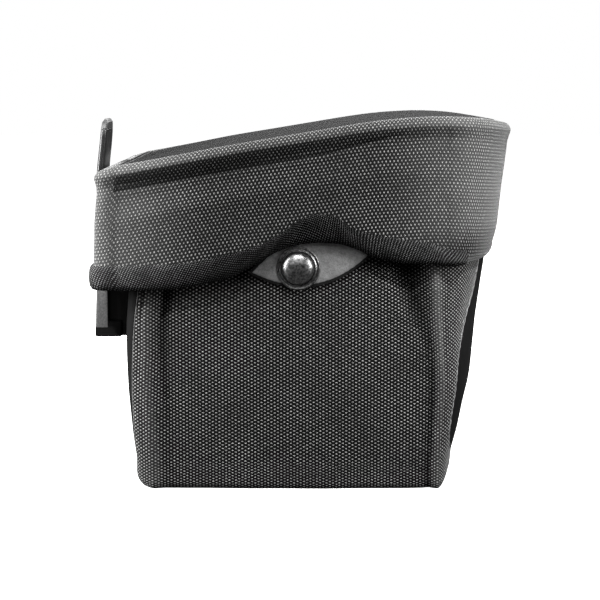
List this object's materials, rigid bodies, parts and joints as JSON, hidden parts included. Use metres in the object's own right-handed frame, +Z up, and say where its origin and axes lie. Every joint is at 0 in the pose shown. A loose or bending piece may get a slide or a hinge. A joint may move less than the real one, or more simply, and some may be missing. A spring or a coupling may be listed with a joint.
{
  "type": "bicycle handlebar bag",
  "caption": "Box-shaped fabric handlebar bag with a sloping overhanging lid, bowed front, eye-shaped snap patches and a rear bracket receiver with a release tongue.",
  "frame": {"origin": "on the flat underside of the floor, on the bag's middle plane, near the middle of the floor's length", "axes": "+X to the bag's front (away from the rider), +Z up, Y across the bag; the bag mirrors over Y = 0"},
  "size_m": [0.22, 0.2196, 0.1848],
  "materials": {
    "woven_fabric": "coarse dark grey weave",
    "coated_fabric": "smooth, semi-matt coated",
    "binding_tape": "fine black weave on the bias",
    "grey_patch": "matt grey felted face",
    "snap_black": "gloss black lacquer",
    "hard_plastic": "satin moulded",
    "tip_plastic": "satin, a little lighter"
  },
  "bodies": {
    "root": {"woven_shell": "woven_fabric", "rear_panel": "coated_fabric", "front_panel": "coated_fabric", "lid_skirt": "woven_fabric", "lid_top_panel": "coated_fabric", "lid_hem_binding": "binding_tape", "snap_patch_right": "grey_patch", "snap_patch_left": "grey_patch", "snap_ring_right": "snap_black", "snap_ring_left": "snap_black", "snap_cap_right": "snap_black", "snap_cap_left": "snap_black", "mount_receiver": "hard_plastic", "release_tongue": "hard_plastic", "tongue_tip": "tip_plastic"}
  },
  "joints": []
}
